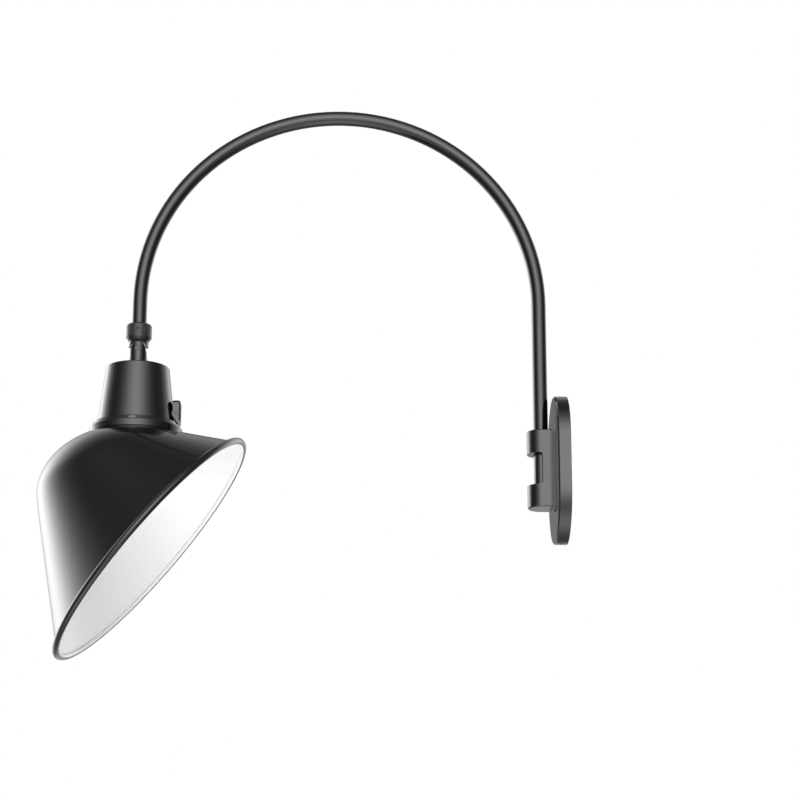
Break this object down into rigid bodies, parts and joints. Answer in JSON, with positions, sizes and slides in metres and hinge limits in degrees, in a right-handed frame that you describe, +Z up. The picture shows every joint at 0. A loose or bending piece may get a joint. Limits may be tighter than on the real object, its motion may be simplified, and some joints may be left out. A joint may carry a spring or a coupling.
{
  "type": "swing arm wall lamp",
  "caption": "Wall lamp with an arched pipe arm that swings in a wall bracket, a swivelling and tilting head, and an angled cone reflector shade with a domed crown.",
  "frame": {"origin": "centre of the wall cover's back, on the wall, in the middle of the two wall screw slots", "axes": "+Z up along the wall, +Y into the wall, the lamp stands out along -Y, and X runs across the lamp with the arm in the plane X = 0"},
  "size_m": [0.3036, 0.5681, 0.6198],
  "materials": {
    "black_paint": "semi-gloss black paint",
    "shade_paint": "semi-gloss black paint outside, white inside",
    "zinc_steel": "bright zinc plate",
    "brass": "turned brass",
    "black_steel": "blackened steel",
    "lead_sheath": "black flexible sheath",
    "rubber": "moulded rubber",
    "terminal_plastic": "white moulded plastic",
    "holder_plastic": "black moulded plastic",
    "washer_nylon": "natural nylon",
    "pad_grey": "grey plastic",
    "spring_steel": "spring steel"
  },
  "bodies": {
    "wall_mount": {"wall_cover": "black_paint", "wall_strap": "zinc_steel", "cover_screws": "black_steel", "terminal_block": "terminal_plastic", "block_screw": "zinc_steel", "earth_screw": "brass", "wall_bracket": "black_paint", "bracket_screws": "zinc_steel", "knuckle_screws": "black_steel", "upper_bush": "brass", "lower_bush": "brass", "thrust_washer": "washer_nylon", "wire_grommet": "rubber", "supply_lead": "lead_sheath"},
    "arm": {"arm_pipe": "black_paint", "arm_lead": "lead_sheath", "arm_ferrule": "brass"},
    "union_nut": {"knurled_nut": "black_paint", "nut_pin": "black_steel"},
    "swivel": {"swivel_yoke": "black_paint", "yoke_lead": "lead_sheath", "pivot_washers": "washer_nylon", "pivot_screws": "black_steel"},
    "head": {"stem": "black_paint", "stem_lead": "lead_sheath", "lock_nut": "zinc_steel", "socket_cup": "black_paint", "lampholder": "holder_plastic", "screw_shell": "brass", "centre_contact": "brass", "bearing_ring": "zinc_steel", "latch_pin": "zinc_steel", "latch_spring": "spring_steel"},
    "reflector": {"shade_collar": "black_paint", "index_pad": "pad_grey", "clamp_ring": "zinc_steel", "shade": "shade_paint"},
    "latch": {"latch_lever": "black_paint"}
  },
  "joints": [
    {"name": "arm_swing", "type": "hinge", "parent": "wall_mount", "child": "arm", "pos_m": [0, -0.027, 0], "axis": [0, 0, 1], "range_deg": [-60, 60]},
    {"name": "nut_turn", "type": "hinge", "parent": "arm", "child": "union_nut", "pos_m": [0, -0.465, 0.15], "axis": [0, 0, 1], "range_deg": [0, 90]},
    {"name": "head_swivel", "type": "hinge", "parent": "arm", "child": "swivel", "pos_m": [0, -0.465, 0.15], "axis": [0, 0, 1], "range_deg": [-170, 170]},
    {"name": "head_tilt", "type": "hinge", "parent": "swivel", "child": "head", "pos_m": [0, -0.465, 0.1305], "axis": [1, 0, 0], "range_deg": [-40, 40]},
    {"name": "shade_turn", "type": "hinge", "parent": "head", "child": "reflector", "pos_m": [0, -0.465, 0.05], "axis": [0, 0, 1], "range_deg": [-15, 15]},
    {"name": "latch_press", "type": "hinge", "parent": "head", "child": "latch", "pos_m": [0, -0.4218, 0.057], "axis": [1, 0, 0], "range_deg": [0, 6], "stiffness_Nm_per_rad": 0.15}
  ]
}
